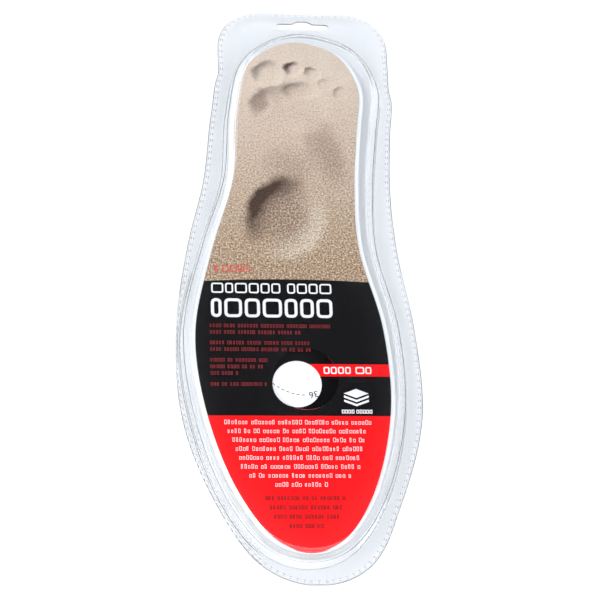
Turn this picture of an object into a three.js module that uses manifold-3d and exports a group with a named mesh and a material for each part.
// A sealed display pack with a pair of cushioned insoles, in millimetres.
// The pack lies on its back: +X across, +Y towards the hang slot, +Z out of the front.
// The origin is under the middle of the weld flange, on the plane the pack lies on.

import * as THREE from 'three';
import { mergeVertices } from 'three/addons/utils/BufferGeometryUtils.js';
import Module from 'manifold-3d';

const wasm = await Module();
wasm.setup();

// ---- driving sizes ----------------------------------------------------------

// the insole blank, cut large so that it can be trimmed to a shoe size
const insoleLength = 282.8;
const insoleWidth = 101.4;
const baseCloth = 0.5;
const foam = 4.0;
const coverCloth = 0.6;

// the printed card that lies on the insoles
const cardThickness = 0.4;
const cardSideInset = 2.2;
const cardHoleDiameter = 24.6;
const cardHolePlace = { x: -6.7, y: -54.7 };

// the two clear shells
const sheet = 0.5;
const wallBaseSpread = 6.5;
const wallTopSpread = 0.1;
const ledgeSpread = 3.6;
const ledgeWidth = 1.1;
const headspace = 7.0;
const trayFloorSpread = 5.4;
const edgeEasing = 0.9;
const fingerHoleDiameter = 32.4;
const fingerHolePlace = { x: -3.1, y: -54.7 };

// the contents don't lie quite straight in the cavity, nor the cavity in the flange
const cavityShift = 1.5;
const cavityTurnDegrees = -1.1;
const flangeShift = 2.6;

// the welded flange and its hanging header
const weldWidth = 6.9;
const headerWidth = 91.4;
const headerTopAboveHeel = 21.5;
const headerPlaceX = 3.4;
const headerCorner = 22;
const headerDepth = 58;
const slotLength = 28.6;
const slotHeight = 3.2;
const slotBumpWidth = 11;
const slotBumpTopWidth = 5.6;
const slotBumpHeight = 1.6;
const slotBelowTop = 8.2;
const slotPlaceX = 3.8;

// gaps between pieces that only lie on each other
const layGap = 0.3;
const weldAboveInsole = 0.1;

// how finely round stretches are drawn
const OUTLINE_STEPS = 88;
const CORNER_STEPS = 10;
const HOLE_STEPS = 12;
const SAME_POINT = 1e-4;

// how far a cutting tool runs past what it cuts
const beyond = 2;

// ---- heights, from the tray floor up ----------------------------------------

const insoleThickness = baseCloth + foam + coverCloth;
const lowerInsoleZ = sheet + layGap;
const upperInsoleZ = lowerInsoleZ + insoleThickness + layGap;
const cardZ = upperInsoleZ + insoleThickness + layGap;
const cardTopZ = cardZ + cardThickness;
const weldZ = lowerInsoleZ + insoleThickness + weldAboveInsole;
const roofZ = cardTopZ + headspace;
const frontZ = roofZ + sheet;

// ---- outlines ---------------------------------------------------------------

// Round the foot from the middle of the heel, over the inner side to the toe and back.
// Each row is x, y and how far the weld flange leaves an even margin there.
const LAST_LENGTH = 282.8;
const LAST_WIDTH = 101.4;
const LAST = [
  [0, 141.2, 0], [22.4, 134, 0], [33.6, 114, 0], [31.8, 88, 0.4], [29.2, 56, 1.4],
  [29.8, 20, 2.6], [40.0, -24, -1], [41.6, -70, -1.4], [30.5, -113, -3.2], [14.5, -136, 1],
  [-2, -141.5, 1], [-20, -136, 0], [-38, -113, -1.6], [-53.4, -72, -1.1], [-59.0, -28, -3.4],
  [-50, 18, -0.3], [-38.8, 58, 1.7], [-36.2, 98, -0.4], [-29.8, 126, 0], [-14, 138.6, 0],
];

const footCurve = new THREE.CatmullRomCurve3(
  LAST.map(([x, y, trim]) => new THREE.Vector3(
    x * insoleWidth / LAST_WIDTH, y * insoleLength / LAST_LENGTH, trim)),
  true, 'centripetal');

// points of the foot with their outward normals and flange trims, anticlockwise
const foot = [];
for (let i = 0; i < OUTLINE_STEPS; i++) {
  const u = 1 - i / OUTLINE_STEPS;
  const p = footCurve.getPointAt(u % 1);
  const t = footCurve.getTangentAt(u % 1);
  const run = Math.hypot(t.x, t.y);
  foot.push({ x: p.x, y: p.y, nx: -t.y / run, ny: t.x / run, trim: p.z });
}

function footOffset(distance) {
  return foot.map(({ x, y, nx, ny }) => new THREE.Vector2(x + nx * distance, y + ny * distance));
}

function cavityOutline(spread) {
  const turn = THREE.MathUtils.degToRad(cavityTurnDegrees);
  const middle = new THREE.Vector2(0, 0);
  const shift = new THREE.Vector2(cavityShift, 0);
  return footOffset(spread).map((p) => p.rotateAround(middle, turn).add(shift));
}

function cardOutline() {
  return foot.map(({ x, y, nx, ny }) => {
    const inset = cardSideInset * Math.abs(nx);
    return new THREE.Vector2(x - nx * inset, y - ny * inset);
  });
}

function flangeOutline() {
  return foot.map(({ x, y, nx, ny, trim }) => {
    const margin = wallBaseSpread + weldWidth + trim;
    return new THREE.Vector2(x + nx * margin + flangeShift, y + ny * margin);
  });
}

const heelY = Math.max(...foot.map(({ y }) => y));
const headerTopY = heelY + headerTopAboveHeel;
const slotY = headerTopY - slotBelowTop;

function headerOutline() {
  const left = headerPlaceX - headerWidth / 2;
  const right = headerPlaceX + headerWidth / 2;
  const shape = new THREE.Shape();
  shape.moveTo(left, headerTopY - headerDepth);
  shape.lineTo(right, headerTopY - headerDepth);
  shape.lineTo(right, headerTopY - headerCorner);
  shape.absarc(right - headerCorner, headerTopY - headerCorner, headerCorner, 0, Math.PI / 2);
  shape.absarc(left + headerCorner, headerTopY - headerCorner, headerCorner,
    Math.PI / 2, Math.PI);
  return shape.extractPoints(CORNER_STEPS).shape;
}

function slotOutline() {
  const half = slotHeight / 2;
  const reach = slotLength / 2 - half;
  const bumpTop = slotY + half + slotBumpHeight;
  const shape = new THREE.Shape();
  shape.absarc(slotPlaceX + reach, slotY, half, -Math.PI / 2, Math.PI / 2);
  shape.lineTo(slotPlaceX + slotBumpWidth / 2, slotY + half);
  shape.lineTo(slotPlaceX + slotBumpTopWidth / 2, bumpTop);
  shape.lineTo(slotPlaceX - slotBumpTopWidth / 2, bumpTop);
  shape.lineTo(slotPlaceX - slotBumpWidth / 2, slotY + half);
  shape.absarc(slotPlaceX - reach, slotY, half, Math.PI / 2, 1.5 * Math.PI);
  return shape.extractPoints(CORNER_STEPS).shape;
}

function circleOutline(place, diameter) {
  const shape = new THREE.Shape();
  shape.absarc(place.x, place.y, diameter / 2, 0, 2 * Math.PI);
  return shape.extractPoints(HOLE_STEPS).shape;
}

// ---- solids -----------------------------------------------------------------

function toManifold(geometry) {
  const bare = geometry.clone();
  bare.deleteAttribute('normal');
  bare.deleteAttribute('uv');
  const merged = mergeVertices(bare, SAME_POINT);
  return new wasm.Manifold(new wasm.Mesh({
    numProp: 3,
    vertProperties: new Float32Array(merged.attributes.position.array),
    triVerts: new Uint32Array(merged.index.array),
  }));
}

function toGeometry(solid) {
  const mesh = solid.getMesh();
  const geometry = new THREE.BufferGeometry();
  geometry.setAttribute('position', new THREE.BufferAttribute(mesh.vertProperties, 3));
  geometry.setIndex(new THREE.BufferAttribute(mesh.triVerts, 1));
  geometry.computeVertexNormals();
  return geometry;
}

// a flat plate with this outline, its two faces exactly at these heights
function plate(outline, low, high) {
  const geometry = new THREE.ExtrudeGeometry(new THREE.Shape(outline), {
    depth: 1, bevelEnabled: false, curveSegments: 1,
  });
  const position = geometry.attributes.position;
  for (let i = 0; i < position.count; i++) {
    position.setZ(i, position.getZ(i) === 0 ? low : high);
  }
  return toManifold(geometry);
}

// a solid skinned over level rings of equal count, from the lowest to the highest
function loft(rings) {
  const count = rings[0].outline.length;
  const positions = [];
  for (const { outline, z } of rings) {
    for (const p of outline) positions.push(p.x, p.y, z);
  }
  const faces = [];
  for (let k = 0; k + 1 < rings.length; k++) {
    for (let i = 0; i < count; i++) {
      const a = k * count + i;
      const b = k * count + (i + 1) % count;
      faces.push(a, b, b + count, a, b + count, a + count);
    }
  }
  const top = (rings.length - 1) * count;
  for (const [a, b, c] of THREE.ShapeUtils.triangulateShape(rings[0].outline, [])) {
    faces.push(c, b, a);
  }
  for (const [a, b, c] of THREE.ShapeUtils.triangulateShape(rings.at(-1).outline, [])) {
    faces.push(top + a, top + b, top + c);
  }
  const geometry = new THREE.BufferGeometry();
  geometry.setAttribute('position', new THREE.Float32BufferAttribute(positions, 3));
  geometry.setIndex(faces);
  return toManifold(geometry);
}

// rings of the cavity wall: each step is how far outside the foot, and how high
function wallRings(steps) {
  return steps.map(([spread, z]) => ({ outline: cavityOutline(spread), z }));
}

function flangePlate(low, high) {
  return plate(flangeOutline(), low, high).add(plate(headerOutline(), low, high));
}

// ---- the pieces -------------------------------------------------------------

// The front shell: flange, a wall with one small ledge at the card's height, and a flat roof.
function frontBlister() {
  const ledgeZ = cardTopZ + edgeEasing;
  const outside = wallRings([
    [wallBaseSpread, weldZ],
    [wallBaseSpread, weldZ + sheet],
    [ledgeSpread + ledgeWidth, ledgeZ],
    [ledgeSpread, ledgeZ + sheet],
    [wallTopSpread + edgeEasing, frontZ - edgeEasing],
    [wallTopSpread, frontZ],
  ]);
  const inside = wallRings([
    [wallBaseSpread - sheet, weldZ - beyond],
    [wallBaseSpread - sheet, weldZ],
    [ledgeSpread + ledgeWidth - sheet, ledgeZ - sheet / 2],
    [ledgeSpread - sheet, ledgeZ + sheet / 2],
    [wallTopSpread + edgeEasing - sheet, roofZ - edgeEasing],
    [wallTopSpread - sheet, roofZ],
  ]);
  return flangePlate(weldZ, weldZ + sheet)
    .add(loft(outside))
    .subtract(loft(inside))
    .subtract(plate(slotOutline(), weldZ - beyond, weldZ + beyond))
    .subtract(plate(circleOutline(fingerHolePlace, fingerHoleDiameter),
      roofZ - beyond, frontZ + beyond));
}

// The back shell: the same flange over a shallow tray that the lower insole lies in.
function backBlister() {
  const outside = wallRings([
    [trayFloorSpread - edgeEasing, 0],
    [trayFloorSpread, edgeEasing],
    [wallBaseSpread - sheet, weldZ - sheet],
    [wallBaseSpread - sheet, weldZ],
  ]);
  const inside = wallRings([
    [trayFloorSpread - edgeEasing - sheet, sheet],
    [trayFloorSpread - sheet, edgeEasing + sheet],
    [wallBaseSpread - 2 * sheet, weldZ],
    [wallBaseSpread - 2 * sheet, weldZ + beyond],
  ]);
  return flangePlate(weldZ - sheet, weldZ)
    .add(loft(outside))
    .subtract(loft(inside))
    .subtract(plate(slotOutline(), weldZ - beyond, weldZ + beyond));
}

function insertCard() {
  const hole = circleOutline(cardHolePlace, cardHoleDiameter);
  return plate(cardOutline(), cardZ, cardTopZ)
    .subtract(plate(hole, cardZ - beyond, cardTopZ + beyond));
}

function insoleLayer(low, thickness) {
  return plate(footOffset(0), low, low + thickness);
}

// ---- the assembly -----------------------------------------------------------

const flangeBox = flangePlate(0, sheet).boundingBox();
const centreX = (flangeBox.min[0] + flangeBox.max[0]) / 2;
const centreY = (flangeBox.min[1] + flangeBox.max[1]) / 2;

const group = new THREE.Group();

function addPiece(name, solid, material) {
  const mesh = new THREE.Mesh(toGeometry(solid), new THREE.MeshStandardMaterial(material));
  mesh.name = name;
  mesh.position.set(-centreX, -centreY, 0);
  group.add(mesh);
}

const clearPlastic = {
  color: '#dfe8f2', roughness: 0.12, metalness: 0, transparent: true, opacity: 0.3,
};
const cardboard = { color: '#1f1d22', roughness: 0.5, metalness: 0 };
const whiteCloth = { color: '#f2f2f0', roughness: 0.9, metalness: 0 };
const creamFoam = { color: '#efe3c4', roughness: 0.95, metalness: 0 };
const velour = { color: '#c8af96', roughness: 0.95, metalness: 0 };

addPiece('back_blister', backBlister(), clearPlastic);
addPiece('front_blister', frontBlister(), clearPlastic);
addPiece('insert_card', insertCard(), cardboard);

// the right insole lies cover up, and the left one cover down on it, so the outlines agree
const layers = [
  ['base', baseCloth, whiteCloth], ['foam', foam, creamFoam], ['cover', coverCloth, velour],
];

function addInsole(side, bottom, order) {
  let z = bottom;
  for (const [layer, thickness, material] of order) {
    addPiece(`${side}_insole_${layer}`, insoleLayer(z, thickness), material);
    z += thickness;
  }
}

addInsole('right', lowerInsoleZ, layers);
addInsole('left', upperInsoleZ, layers.toReversed());

export default group;
